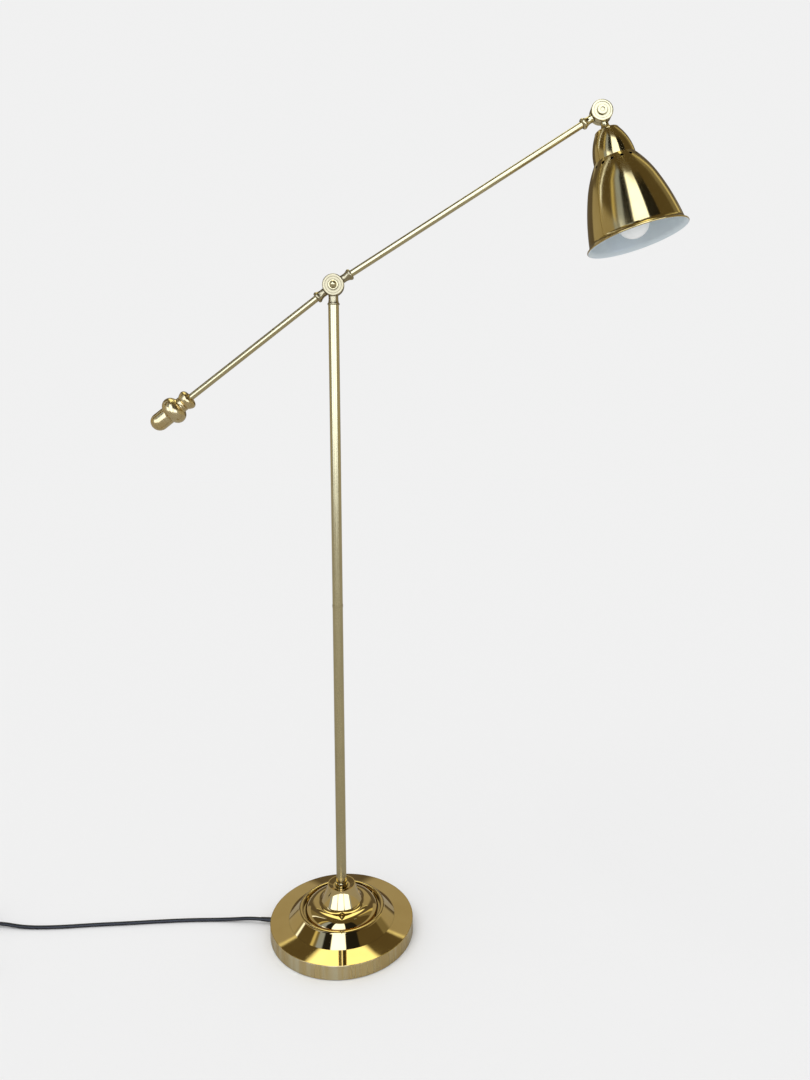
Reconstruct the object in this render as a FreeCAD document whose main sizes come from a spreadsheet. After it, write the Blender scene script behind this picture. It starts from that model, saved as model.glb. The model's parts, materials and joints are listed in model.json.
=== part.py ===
import FreeCAD, Part
import math
import os

import Sketcher

# A counterbalanced reading floor lamp, in millimetres, +Z up.
# The origin is the centre of the base on the floor. The arm's plane is XZ, with the head towards +X.

doc = FreeCAD.newDocument("floor_lamp")
sheet = doc.addObject("Spreadsheet::Sheet", "Sizes")
V = FreeCAD.Vector
UP = V(0, 0, 1)
HINGE = V(0, 1, 0)


class Size:
    """A length or an angle that knows both its value and the sheet expression that gives it."""

    def __init__(self, value, text):
        self.value = value
        self.text = text

    def __add__(self, other):
        other = as_size(other)
        return Size(self.value + other.value, "(" + self.text + " + " + other.text + ")")

    def __sub__(self, other):
        other = as_size(other)
        return Size(self.value - other.value, "(" + self.text + " - " + other.text + ")")

    def __mul__(self, other):
        other = as_size(other)
        return Size(self.value * other.value, self.text + " * " + other.text)

    def __truediv__(self, other):
        other = as_size(other)
        return Size(self.value / other.value, self.text + " / " + other.text)


def as_size(number):
    """A plain number counts as a size too."""
    if isinstance(number, Size):
        return number
    return Size(float(number), repr(float(number)))


ROWS = {
    # base
    "base_radius": 115.0,
    "band_bottom": 0.8,
    "band_top": 23.3,
    "sheet_wall": 1.2,
    "sheet_round": 0.8,
    "step_radius": 84.9,
    "step_height": 26.3,
    "bead_width": 6.8,
    "bead_foot_height": 41.1,
    "bead_inner_radius": 62.6,
    "bead_rise": 1.5,
    "bead_curve": 4.6,
    "well_height": 38.0,
    "shelf_inner_radius": 48.0,
    "dome_gap": 4.4,
    "skirt_foot_rise": 3.0,
    "skirt_curve": 22.0,
    "ledge_radius": 40.8,
    "skirt_rise": 11.2,
    "ledge_curve": 14.0,
    "cone_foot_radius": 32.3,
    "ledge_rise": 2.6,
    "cone_curve": 110.0,
    "cone_top_radius": 22.1,
    "cone_rise": 25.5,
    "dish_radius": 13.6,
    "dish_depth": 3.1,
    "lip_width": 1.5,
    "lip_inset": 1.68,
    "pad_thickness": 2.0,
    "pad_inset": 4.0,
    "plate_thickness": 1.2,
    "plate_inset": 3.8,
    "weight_inset": 5.0,
    "weight_top": 15.2,
    "boss_inset": 6.6,
    "weight_recess_radius": 26.0,
    "weight_recess_top": 28.0,
    "channel_width": 8.0,
    "channel_play": 1.2,
    "plate_screw_count": 3,
    "plate_screw_circle": 88.0,
    "plate_screw_radius": 2.0,
    "plate_screw_length": 9.0,
    "plate_screw_head": 3.9,
    # pole
    "pole_radius": 8.0,
    "pole_wall": 1.0,
    "collar_radius": 9.5,
    "collar_height": 7.0,
    "collar_floor": 3.0,
    "nipple_radius": 5.0,
    "nipple_bore": 3.5,
    "nipple_slack": 0.3,
    "nipple_end": 20.0,
    "nipple_reach": 24.0,
    "insert_length": 20.0,
    "spacer_wall": 2.0,
    "washer_radius": 10.0,
    "washer_thickness": 1.5,
    "nut_width": 14.0,
    "nut_thickness": 5.0,
    "joint_height": 540.0,
    "joint_ring_height": 4.0,
    "joint_ring_step": 0.35,
    "spigot_length": 22.0,
    "spigot_bore": 3.8,
    # swivel joints
    "pivot_height": 1028.3,
    "disc_radius": 16.2,
    "disc_outer_face": 9.5,
    "disc_gap": 0.4,
    "disc_edge": 1.6,
    "disc_groove_radius": 11.6,
    "disc_groove_width": 1.0,
    "disc_groove_depth": 0.7,
    "disc_centre_radius": 8.0,
    "disc_centre_depth": 0.5,
    "swivel_clearance": 0.5,
    "pin_radius": 3.0,
    "pin_clearance": 0.05,
    "friction_washer_radius": 12.0,
    "friction_washer_play": 0.05,
    "stem_root_reach": 8.0,
    "stem_straight_length": 2.0,
    "stub_radius": 6.0,
    "stub_flare": 14.0,
    "stub_bead_lip": 8.15,
    "stub_bead_reach": 29.0,
    "stub_bead_width": 3.0,
    "stub_socket_depth": 5.0,
    "pole_neck_radius": 7.3,
    "pole_neck_reach": 20.0,
    "pole_neck_flare": 30.0,
    "pole_bead_reach": 27.5,
    "pole_bead_width": 3.4,
    "pole_bead_curve": 1.85,
    # knob
    "knob_flange_radius": 7.3,
    "knob_flange_width": 2.4,
    "knob_neck_radius": 4.2,
    "knob_dome_radius": 5.4,
    "knob_reach": 12.5,
    "knob_round": 0.5,
    "face_play": 0.1,
    "cap_nut_width": 10.0,
    "cap_nut_hex": 4.5,
    "cap_nut_dome": 4.6,
    "cap_nut_wall": 1.2,
    "head_screw_radius": 7.2,
    "head_screw_height": 2.2,
    "head_screw_socket": 3.6,
    # arm
    "arm_radius": 5.0,
    "arm_wall": 0.9,
    "seat_clearance": 0.02,
    "front_reach": 471.2,
    "front_angle": 32.33,
    "rear_angle": 37.59,
    "end_bead_reach": 31.0,
    "end_spigot_length": 26.0,
    "end_spigot_clearance": 0.07,
    "end_spigot_bore": 2.6,
    "lead_radius": 2.2,
    # counterweight, measured along the rear tube from the pivot
    "weight_collar_start": 270.5,
    "weight_collar_cup": 1.5,
    "weight_collar_mouth": 9.5,
    "weight_collar_radius": 14.8,
    "weight_collar_rise": 6.0,
    "weight_collar_curve": 6.5,
    "weight_collar_length": 14.0,
    "weight_collar_slope": 20.0,
    "weight_neck_radius": 11.1,
    "weight_ring_length": 3.6,
    "weight_ring_curve": 5.0,
    "weight_fillet": 3.0,
    "weight_fillet_curve": 4.5,
    "weight_bead_foot": 13.9,
    "weight_bead_width": 21.4,
    "weight_bead_curve": 11.9,
    "weight_barrel_radius": 13.4,
    "weight_barrel_length": 13.6,
    "weight_bore_depth": 21.9,
    # head, measured along the shade's axis from the head's hinge
    "head_tilt": 15.24,
    "head_twist": -9.53,
    "neck_radius": 5.8,
    "neck_foot_radius": 12.6,
    "neck_foot_curve": 9.0,
    "shade_top": 27.5,
    "shade_wall": 0.9,
    "shade_shoulder_radius": 18.2,
    "shade_shoulder_drop": 3.2,
    "shade_shoulder_round": 3.6,
    "shade_cap_curve": 84.0,
    "crease_radius": 31.0,
    "crease_reach": 73.4,
    "bell_radius": 54.0,
    "bell_reach": 119.5,
    "bell_upper_curve": 172.0,
    "bell_lower_curve": 372.0,
    "bell_end_radius": 69.9,
    "bell_end_reach": 187.0,
    "rim_flare": 5.5,
    "rim_drop": 8.8,
    "rim_bead": 1.5,
    "rim_bead_ease": 0.03,
    "rim_curve": 11.0,
    "vent_count": 16,
    "vent_radius": 2.3,
    "vent_drop": 7.6,
    "shade_nut_radius": 11.0,
    "shade_nut_thickness": 5.0,
    "head_nipple_start": 20.0,
    "holder_start": 92.0,
    "holder_radius": 13.6,
    "holder_length": 46.0,
    "holder_wall": 2.0,
    "holder_ring_radius": 16.0,
    "holder_ring_height": 5.0,
    "screw_shell_wall": 0.4,
    "bulb_radius": 23.5,
    "bulb_neck_length": 30.5,
    "bulb_join_radius": 16.92,
    "bulb_neck_gap": 2.5,
    "bulb_neck_curve": 55.0,
    "bulb_cap_radius": 6.9,
    "bulb_cap_depth": 21.0,
    "bulb_wall": 1.0,
    "contact_radius": 3.4,
    # cord
    "cord_radius": 2.8,
    "gland_height": 8.0,
    "gland_azimuth": 170.3,
    "gland_root_radius": 3.8,
    "gland_tip_radius": 3.15,
    "gland_length": 20.0,
    "gland_shoulder": 1.0,
    "gland_flange_radius": 6.0,
    "gland_flange_thickness": 2.0,
    "inner_bend": 12.0,
    "inner_cord_play": 0.6,
    # coil of spare cord and its tie
    "coil_x": -661.6,
    "coil_y": -13.3,
    "coil_start_angle": 180.0,
    "coil_inner_radius": 22.15,
    "coil_pitch": 6.2,
    "coil_quarters_in": 13,
    "coil_quarters_out": 12,
    "tie_thickness": 0.8,
    "tie_play": 0.1,
    "tie_end_play": 0.45,
    "tie_corner": 3.0,
    "tie_width": 8.0,
    "tie_angle": 45.0,
    # foot switch
    "switch_x": -610.0,
    "switch_y": 50.0,
    "switch_heading": 171.5,
    "switch_length": 56.0,
    "switch_width": 26.0,
    "switch_corner": 8.0,
    "switch_wall": 1.6,
    "switch_split": 11.5,
    "switch_height": 18.0,
    "snout_lift": 0.4,
    "snout_root_radius": 5.2,
    "snout_tip_radius": 3.5,
    "snout_length": 14.0,
    "pedal_length": 25.0,
    "pedal_width": 17.0,
    "pedal_corner": 4.0,
    "pedal_play": 0.3,
    "pedal_flange": 1.5,
    "pedal_proud": 3.5,
    "pedal_travel": 3.0,
    # plug
    "plug_relief_length": 25.0,
    "plug_relief_radius": 5.5,
    "plug_length": 36.0,
    "plug_thickness": 13.7,
    "plug_grip_length": 16.0,
    "plug_grip_width": 33.0,
    "plug_face_width": 26.0,
    "plug_waist_curve": 4.2,
    "plug_pin_radius": 2.0,
    "plug_pin_length": 19.0,
    "plug_pin_nose": 0.8,
    "plug_pin_spacing": 18.6,
}

for index, (name, number) in enumerate(ROWS.items(), start=1):
    sheet.set("A%d" % index, name)
    sheet.set("B%d" % index, str(number))
    sheet.setAlias("B%d" % index, name)
doc.recompute()

S = {name: Size(float(number), "Sizes." + name) for name, number in ROWS.items()}
parts = {}


# Helpers: sketches from outlines, turned bodies, placements


def keep(piece):
    """A finished piece, under its own label."""
    parts[piece.Label] = piece
    return piece


def start_body(name):
    body = doc.addObject("PartDesign::Body", name)
    body.Label = name
    return body


def start_sketch(body, role, name):
    sketch = body.newObject("Sketcher::SketchObject", name)
    plane = [feature for feature in body.Origin.OriginFeatures if feature.Role == role][0]
    sketch.AttachmentSupport = [(plane, "")]
    sketch.MapMode = "FlatFace"
    return sketch


def arc_between(start, end, radius, side):
    """The arc of that radius from start to end, with its centre on the left or the right of the way."""
    chord = end - start
    rise = math.sqrt(max(radius * radius - chord.Length * chord.Length / 4, 0.0))
    left = V(-chord.y, chord.x, 0).normalize()
    centre = (start + end) * 0.5 + left * (rise if side == "left" else -rise)
    first, last = (start, end) if side == "left" else (end, start)
    first_angle = math.atan2(first.y - centre.y, first.x - centre.x)
    last_angle = math.atan2(last.y - centre.y, last.x - centre.x)
    return Part.ArcOfCircle(Part.Circle(centre, UP, radius), first_angle, last_angle)


def draw(sketch, outline):
    """Draws a closed outline of corners (x, y), or (x, y, radius, side) where an arc arrives there."""
    corners = [(as_size(corner[0]), as_size(corner[1])) for corner in outline]
    spots = [V(x.value, y.value, 0) for x, y in corners]
    shapes = []
    starts = []
    ends = []
    for index, corner in enumerate(outline):
        clockwise = False
        if len(corner) == 4:
            radius, side = corner[2:]
            shapes.append(arc_between(spots[index - 1], spots[index], radius.value, side))
            clockwise = side == "right"
        else:
            shapes.append(Part.LineSegment(spots[index - 1], spots[index]))
        starts.append(2 if clockwise else 1)
        ends.append(1 if clockwise else 2)
    sketch.addGeometry(shapes, False)
    rules = []
    bindings = []
    for index, (x, y) in enumerate(corners):
        after = (index + 1) % len(corners)
        rules.append(Sketcher.Constraint("Coincident", index, ends[index], after, starts[after]))
        for kind, size, axis in (("DistanceX", x, -2), ("DistanceY", y, -1)):
            if size.value == 0:
                rules.append(Sketcher.Constraint("PointOnObject", index, ends[index], axis))
            else:
                rules.append(Sketcher.Constraint(kind, -1, 1, index, ends[index], size.value))
                bindings.append((len(rules) - 1, size.text))
    for index, corner in enumerate(outline):
        if len(corner) == 4:
            rules.append(Sketcher.Constraint("Radius", index, corner[2].value))
            bindings.append((len(rules) - 1, corner[2].text))
    sketch.addConstraint(rules)
    for position, text in bindings:
        sketch.setExpression("Constraints[%d]" % position, text)
    return sketch


def revolve(body, kind, name, outline, role="XZ_Plane", axis="V_Axis"):
    """Adds a revolution or a groove about one of its sketch's axes."""
    sketch = draw(start_sketch(body, role, name + "_outline"), outline)
    feature = body.newObject("PartDesign::" + kind, name)
    feature.Profile = sketch
    feature.ReferenceAxis = (sketch, [axis])
    feature.Angle = 360
    return feature


def turned(name, outline):
    """A turned or spun body about its own Z axis, from an outline of (radius, height) corners."""
    body = start_body(name)
    revolve(body, "Revolution", name + "_turn", outline)
    return body


def ring_outline(inner, outer, low, high):
    return [(inner, low), (outer, low), (outer, high), (inner, high)]


def rounded_outline(length, width, corner):
    """A rectangle about the origin with round corners."""
    right = length / 2
    top = width / 2
    left = as_size(0) - right
    low = as_size(0) - top
    return [
        (left + corner, low, corner, "left"),
        (right - corner, low),
        (right, low + corner, corner, "left"),
        (right, top - corner),
        (right - corner, top, corner, "left"),
        (left + corner, top),
        (left, top - corner, corner, "left"),
        (left, low + corner),
    ]


def block(name, length, width, height):
    box = doc.addObject("Part::Box", name)
    for side, size in (("Length", length), ("Width", width), ("Height", height)):
        box.setExpression(side, as_size(size).text)
    return box


def joined(kind, name, *pieces):
    """A boolean of pieces: Part::Cut takes two, Part::MultiFuse and Part::Compound take several."""
    result = doc.addObject(kind, name)
    result.Label = name
    if kind == "Part::Cut":
        result.Base, result.Tool = pieces
    elif kind == "Part::MultiFuse":
        result.Shapes = list(pieces)
    else:
        result.Links = list(pieces)
    return result


def pitched(angle):
    """The turn about +Y that takes +Z to a direction that many degrees from it, towards +X."""
    return FreeCAD.Rotation(HINGE, angle)


def hexagon(name, width, low, high):
    """A hexagonal prism about Z, that wide across its flats."""
    prism = doc.addObject("Part::Prism", name)
    prism.Polygon = 6
    prism.setExpression("Circumradius", width.text + " / sqrt(3)")
    prism.setExpression("Height", (high - low).text)
    prism.setExpression("Placement.Base.z", low.text)
    return prism


def pierce(name, body, spot_x, spot_y, radius, length, role="XZ_Plane", reverse=False):
    """A round pocket from one of the body's own origin planes, one way only."""
    sketch = start_sketch(body, role, name + "_circle")
    centre = V(as_size(spot_x).value, as_size(spot_y).value, 0)
    sketch.addGeometry(Part.Circle(centre, UP, radius.value), False)
    sketch.addConstraint(Sketcher.Constraint("Radius", 0, radius.value))
    sketch.setExpression("Constraints[0]", radius.text)
    for kind, size, axis in (("DistanceX", as_size(spot_x), -2), ("DistanceY", as_size(spot_y), -1)):
        if size.value == 0:
            sketch.addConstraint(Sketcher.Constraint("PointOnObject", 0, 3, axis))
        else:
            place = sketch.addConstraint(Sketcher.Constraint(kind, -1, 1, 0, 3, size.value))
            sketch.setExpression("Constraints[%d]" % place, size.text)
    pocket = body.newObject("PartDesign::Pocket", name)
    pocket.Profile = sketch
    pocket.setExpression("Length", length.text)
    pocket.Reversed = reverse
    return sketch, pocket


def rod(name, radius, length, base=V(0, 0, 0), turn=FreeCAD.Rotation()):
    """A plain round bar, along +Z before it is turned."""
    bar = doc.addObject("Part::Cylinder", name)
    bar.setExpression("Radius", radius.text)
    bar.setExpression("Height", length.text)
    bar.Placement = FreeCAD.Placement(base, turn)
    return bar


def padded(name, outline, height):
    """A flat-sided body on its own XY plane."""
    body = start_body(name)
    sketch = draw(start_sketch(body, "XY_Plane", name + "_outline"), outline)
    pad = body.newObject("PartDesign::Pad", name + "_pad")
    pad.Profile = sketch
    pad.setExpression("Length", height.text)
    return body


# Base: the stack that rests on the floor and clamps round the pole's nipple


def gland_spot(radius):
    """A point at the cord's height, that far out from the base's axis, above the cord's way in."""
    angle = math.radians(S["gland_azimuth"].value)
    return V(radius * math.cos(angle), radius * math.sin(angle), S["gland_height"].value)


def gland_turn():
    """The turn that takes +Z to the way the cord leaves the base."""
    return FreeCAD.Rotation(UP, S["gland_azimuth"].value) * FreeCAD.Rotation(HINGE, 90)


def screw_places():
    """The places of the bottom plate's screws, spread evenly and clear of the cord's channel."""
    count = int(S["plate_screw_count"].value)
    first = S["gland_azimuth"].value + 180.0 / count
    reach = S["plate_screw_circle"].value
    angles = [math.radians(first + 360.0 * index / count) for index in range(count)]
    return [V(reach * math.cos(angle), reach * math.sin(angle), 0) for angle in angles]


def screw_tools(name, spread):
    """One countersunk screw shape at each screw's place, larger all round by the spread."""
    head = S["plate_screw_head"] + spread
    shank = S["plate_screw_radius"] + spread
    tools = []
    for index, place in enumerate(screw_places()):
        tool = turned("%s_%d" % (name, index + 1), [
            (0, S["pad_thickness"]),
            (head, S["pad_thickness"]),
            (shank, S["pad_thickness"] + S["plate_thickness"]),
            (shank, S["pad_thickness"] + S["plate_screw_length"]),
            (0, S["pad_thickness"] + S["plate_screw_length"]),
        ])
        tool.Placement.Base = place
        tools.append(tool)
    return joined("Part::Compound", name, *tools)


def make_base():
    wall = S["sheet_wall"]
    bead = S["bead_inner_radius"]
    bead_outer = bead + S["bead_width"]
    bead_inner_height = S["bead_foot_height"] + S["bead_rise"]
    cover = turned("base_cover_turned", [
        (S["base_radius"], S["band_bottom"]),
        (S["base_radius"], S["band_top"] - S["sheet_round"]),
        (S["base_radius"] - S["sheet_round"], S["band_top"], S["sheet_round"], "left"),
        (S["step_radius"], S["step_height"]),
        (bead_outer, S["bead_foot_height"]),
        (bead, bead_inner_height, S["bead_curve"], "left"),
        (bead, S["well_height"]),
        (S["shelf_inner_radius"], S["well_height"]),
        (S["shelf_inner_radius"], S["well_height"] - wall),
        (bead + wall, S["well_height"] - wall),
        (bead + wall, bead_inner_height - wall),
        (bead_outer - wall, S["bead_foot_height"] - wall),
        (S["step_radius"] - wall, S["step_height"] - wall),
        (S["base_radius"] - wall, S["band_top"] - wall),
        (S["base_radius"] - wall, S["band_bottom"]),
    ])
    hole = rod(
        "gland_hole", S["gland_root_radius"] + S["seat_clearance"], S["gland_length"],
        gland_spot(S["base_radius"].value - S["gland_length"].value / 2), gland_turn(),
    )
    keep(joined("Part::Cut", "base_cover", cover, hole))

    dome = bead - S["dome_gap"]
    skirt_foot = S["well_height"] + S["skirt_foot_rise"]
    ledge = skirt_foot + S["skirt_rise"]
    cone_foot = ledge + S["ledge_rise"]
    crown = cone_foot + S["cone_rise"]
    dish = crown - S["dish_depth"]
    bore = S["nipple_radius"] + S["seat_clearance"]
    keep(turned("base_dome", [
        (dome, S["well_height"]),
        (dome, skirt_foot),
        (S["ledge_radius"], ledge, S["skirt_curve"], "left"),
        (S["cone_foot_radius"], cone_foot, S["ledge_curve"], "right"),
        (S["cone_top_radius"], crown, S["cone_curve"], "right"),
        (S["cone_top_radius"] - S["lip_width"], crown),
        (S["dish_radius"], dish),
        (bore, dish),
        (bore, dish - wall),
        (S["dish_radius"], dish - wall),
        (S["cone_top_radius"] - S["lip_inset"], crown - S["lip_inset"]),
        (S["cone_foot_radius"] - wall, cone_foot - wall, S["cone_curve"], "left"),
        (S["ledge_radius"] - wall, ledge - wall, S["ledge_curve"], "left"),
        (dome - wall, skirt_foot, S["skirt_curve"] - wall, "right"),
        (dome - wall, S["well_height"]),
    ]))

    floor = S["pad_thickness"] + S["plate_thickness"]
    shelf = S["well_height"] - wall
    slack = S["nipple_radius"] + S["nipple_slack"]
    edge = S["base_radius"] - S["weight_inset"]
    boss = bead - S["boss_inset"]
    casting = turned("base_weight_turned", [
        (S["weight_recess_radius"], floor),
        (edge, floor),
        (edge, S["weight_top"]),
        (boss, S["weight_top"]),
        (boss, shelf),
        (slack, shelf),
        (slack, S["weight_recess_top"]),
        (S["weight_recess_radius"], S["weight_recess_top"]),
    ])
    channel_top = S["gland_height"] + S["cord_radius"] + S["channel_play"]
    channel = block("cord_channel", edge + wall, S["channel_width"], channel_top - floor)
    half = S["channel_width"].value / 2
    turn = FreeCAD.Rotation(UP, S["gland_azimuth"].value)
    channel.Placement = FreeCAD.Placement(turn.multVec(V(0, -half, floor.value)), turn)
    tapped = screw_tools("weight_threads", S["seat_clearance"])
    channelled = joined("Part::Cut", "base_weight_channelled", casting, channel)
    keep(joined("Part::Cut", "base_weight", channelled, tapped))

    plate_edge = S["base_radius"] - S["plate_inset"]
    plate = turned("base_plate_disc", ring_outline(0, plate_edge, S["pad_thickness"], floor))
    sinks = screw_tools("plate_sinks", S["seat_clearance"])
    keep(joined("Part::Cut", "base_plate", plate, sinks))
    keep(screw_tools("plate_screws", as_size(0)))
    pad_edge = S["base_radius"] - S["pad_inset"]
    keep(turned("floor_pad", ring_outline(0, pad_edge, 0, S["pad_thickness"])))

    ceiling = S["weight_recess_top"]
    under_washer = ceiling - S["washer_thickness"]
    keep(turned("base_washer", ring_outline(slack, S["washer_radius"], under_washer, ceiling)))
    blank = hexagon("base_nut_blank", S["nut_width"], under_washer - S["nut_thickness"], under_washer)
    thread = rod("base_nut_thread", bore, S["weight_recess_top"])
    keep(joined("Part::Cut", "base_nut", blank, thread))
    keep(turned("spacer_tube", ring_outline(slack, slack + S["spacer_wall"], shelf, dish - wall)))
    return dish


# Pole: two tubes on a threaded nipple, with the swivel's lower half on top


def make_pole(dish):
    bore = S["nipple_radius"] + S["seat_clearance"]
    socket = S["pole_radius"] + S["seat_clearance"]
    inside = S["pole_radius"] - S["pole_wall"]
    plug = inside - S["seat_clearance"]
    foot = dish + S["collar_floor"]
    rim = dish + S["collar_height"]
    chamfer = (S["collar_radius"] - S["pole_radius"]) / 2
    keep(turned("pole_collar", [
        (bore, dish),
        (S["collar_radius"], dish),
        (S["collar_radius"], rim - chamfer),
        (S["collar_radius"] - chamfer, rim),
        (socket, rim),
        (socket, foot),
        (bore, foot),
    ]))
    nipple_top = foot + S["nipple_reach"]
    keep(turned("pole_nipple", ring_outline(
        S["nipple_bore"], S["nipple_radius"], S["nipple_end"], nipple_top)))
    keep(turned("pole_insert", ring_outline(bore, plug, nipple_top - S["insert_length"], nipple_top)))

    half_ring = S["joint_ring_height"] / 2
    ring_low = S["joint_height"] - half_ring
    ring_high = S["joint_height"] + half_ring
    ring = S["pole_radius"] + S["joint_ring_step"]
    keep(turned("pole_lower_tube", ring_outline(inside, S["pole_radius"], foot, ring_low)))
    keep(turned("pole_coupling", [
        (S["spigot_bore"], ring_low - S["spigot_length"]),
        (plug, ring_low - S["spigot_length"]),
        (plug, ring_low),
        (ring, ring_low),
        (ring, ring_high),
        (plug, ring_high),
        (plug, ring_high + S["spigot_length"]),
        (S["spigot_bore"], ring_high + S["spigot_length"]),
    ]))
    tube_top = S["pivot_height"] - S["pole_bead_reach"] - S["pole_bead_width"] / 2
    keep(turned("pole_upper_tube", ring_outline(inside, S["pole_radius"], ring_high, tube_top)))


# Swivel joints: a disc and one or two stems in each half, which meet at the joint's middle plane


def disc(name, rear):
    """A ringed half disc, from the joint's gap to its outer face, about Y. The rear one lies towards +Y."""
    face = S["disc_outer_face"]
    groove = S["disc_groove_radius"]
    body = start_body(name)
    revolve(body, "Revolution", name + "_turn", [
        (S["disc_gap"], S["pin_radius"]),
        (S["disc_gap"], S["disc_radius"]),
        (face - S["disc_edge"], S["disc_radius"]),
        (face, S["disc_radius"] - S["disc_edge"], S["disc_edge"], "right"),
        (face, groove + S["disc_groove_width"]),
        (face - S["disc_groove_depth"], groove + S["disc_groove_width"]),
        (face - S["disc_groove_depth"], groove),
        (face - S["disc_centre_depth"], groove),
        (face - S["disc_centre_depth"], S["disc_centre_radius"]),
        (face, S["disc_centre_radius"]),
        (face, S["pin_radius"]),
    ], "YZ_Plane", "H_Axis")
    if not rear:
        body.Placement = FreeCAD.Placement(V(0, 0, 0), FreeCAD.Rotation(UP, 180))
    return body


def swivel_half(name, rear, stems):
    """Joins a disc to its stems, which are cut back round the other half's disc."""
    reach = S["disc_outer_face"] * 2
    cutter = rod(
        name + "_clearance", S["disc_radius"] + S["swivel_clearance"], reach + S["disc_gap"],
        V(0, (S["disc_gap"] if rear else reach).value, 0), FreeCAD.Rotation(V(1, 0, 0), 90),
    )
    if not rear:
        cutter.Placement.Base = V(0, reach.value, 0)
    stem = stems[0] if len(stems) == 1 else joined("Part::MultiFuse", name + "_stems", *stems)
    relieved = joined("Part::Cut", name + "_relieved", stem, cutter)
    return joined("Part::MultiFuse", name, disc(name + "_disc", rear), relieved)


def stub(name, bead_reach, spigot_length):
    """A trumpet stem with a bead, along +Z from the hinge, that ends in a socket or in a spigot."""
    bead_start = bead_reach - S["stub_bead_width"] / 2
    mouth = bead_reach + S["stub_bead_width"]
    throat = S["stub_radius"]
    lip = S["stub_bead_lip"]
    outline = [
        (0, S["stem_root_reach"]),
        (throat, S["stem_root_reach"]),
        (throat, S["disc_radius"] + S["stem_straight_length"]),
        (lip, bead_start, S["stub_flare"], "right"),
        (throat, mouth, S["stub_bead_width"], "left"),
    ]
    if spigot_length is None:
        socket = S["arm_radius"] + S["seat_clearance"]
        outline += [
            (socket, mouth),
            (socket, mouth - S["stub_socket_depth"]),
            (S["end_spigot_bore"], mouth - S["stub_socket_depth"]),
        ]
    else:
        spigot = S["arm_radius"] - S["arm_wall"] - S["end_spigot_clearance"]
        outline += [
            (spigot, mouth),
            (spigot, mouth + spigot_length),
            (S["end_spigot_bore"], mouth + spigot_length),
        ]
    outline += [(S["end_spigot_bore"], S["disc_radius"]), (0, S["disc_radius"])]
    return turned(name, outline)


def cap_nut(name):
    """A domed hexagon nut on the rear disc's face, its hole along +Z before it is turned to face +Y."""
    face = S["disc_outer_face"]
    shoulder = face + S["cap_nut_hex"]
    tip = shoulder + S["cap_nut_dome"]
    dome = turned(name + "_dome", [
        (0, face),
        (S["cap_nut_dome"], face),
        (S["cap_nut_dome"], shoulder),
        (0, tip, S["cap_nut_dome"], "left"),
    ])
    prism = hexagon(name + "_hex", S["cap_nut_width"], face, shoulder)
    solid = joined("Part::MultiFuse", name + "_solid", dome, prism)
    thread = rod(name + "_thread", S["pin_radius"], tip - S["cap_nut_wall"])
    return joined("Part::Cut", name, solid, thread)


def pin_end():
    """How far behind the joint's middle plane its screw ends."""
    return S["disc_outer_face"] + S["cap_nut_hex"] + S["cap_nut_dome"] - S["cap_nut_wall"] * 2


def make_pole_swivel():
    start = S["stem_root_reach"]
    bead_start = S["pole_bead_reach"] - S["pole_bead_width"] / 2
    bead_end = S["pole_bead_reach"] + S["pole_bead_width"] / 2
    plug = S["pole_radius"] - S["pole_wall"] - S["seat_clearance"]
    bore = S["cord_radius"] + S["inner_cord_play"]
    stem = turned("pole_swivel_stem", [
        (0, start),
        (S["pole_neck_radius"], start),
        (S["pole_neck_radius"], S["pole_neck_reach"]),
        (S["pole_radius"], bead_start, S["pole_neck_flare"], "right"),
        (S["pole_radius"], bead_end, S["pole_bead_curve"], "left"),
        (plug, bead_end),
        (plug, bead_end + S["spigot_length"]),
        (bore, bead_end + S["spigot_length"]),
        (bore, S["disc_radius"]),
        (0, S["disc_radius"]),
    ])
    stem.Placement.Rotation = pitched(180)
    half = swivel_half("pole_swivel", False, [stem])
    half.Placement.Base = V(0, 0, S["pivot_height"].value)
    keep(half)

    washer = turned("pivot_washer", ring_outline(
        S["pin_radius"], S["friction_washer_radius"], 0, S["disc_gap"] * 2 - S["friction_washer_play"]))
    washer.Placement = FreeCAD.Placement(
        V(0, -S["disc_gap"].value, S["pivot_height"].value), FreeCAD.Rotation(V(1, 0, 0), -90))
    keep(washer)


def make_knob():
    """The hand knob in front of the pivot, along +Z before it is turned to face the viewer."""
    start = S["disc_outer_face"] + S["face_play"]
    hole = S["pin_radius"] - S["pin_clearance"] + S["seat_clearance"]
    sunk = start + S["knob_flange_width"]
    centre = S["knob_reach"] - S["knob_dome_radius"]
    waist_value = math.sqrt(S["knob_dome_radius"].value ** 2 - S["knob_neck_radius"].value ** 2)
    square = S["knob_dome_radius"].text + " ^ 2 - " + S["knob_neck_radius"].text + " ^ 2"
    waist = Size(waist_value, "sqrt(" + square + ")")
    knob = turned("pivot_knob", [
        (hole, start),
        (S["knob_flange_radius"] - S["knob_round"], start),
        (S["knob_flange_radius"], start + S["knob_round"], S["knob_round"], "left"),
        (S["knob_flange_radius"], sunk - S["knob_round"]),
        (S["knob_flange_radius"] - S["knob_round"], sunk, S["knob_round"], "left"),
        (S["knob_neck_radius"], sunk),
        (S["knob_neck_radius"], start + centre - waist),
        (0, start + S["knob_reach"], S["knob_dome_radius"], "left"),
        (0, sunk),
        (hole, sunk),
    ])
    screw = turned("pivot_screw", ring_outline(
        0, S["pin_radius"] - S["pin_clearance"], 0, sunk + pin_end()))
    facing = FreeCAD.Rotation(V(1, 0, 0), 90)
    knob.Placement = FreeCAD.Placement(V(0, 0, S["pivot_height"].value), facing)
    screw.Placement = FreeCAD.Placement(V(0, pin_end().value, S["pivot_height"].value), facing)
    keep(knob)
    keep(screw)


# Arm: rear half of the pivot, two tubes, the counterweight


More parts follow.
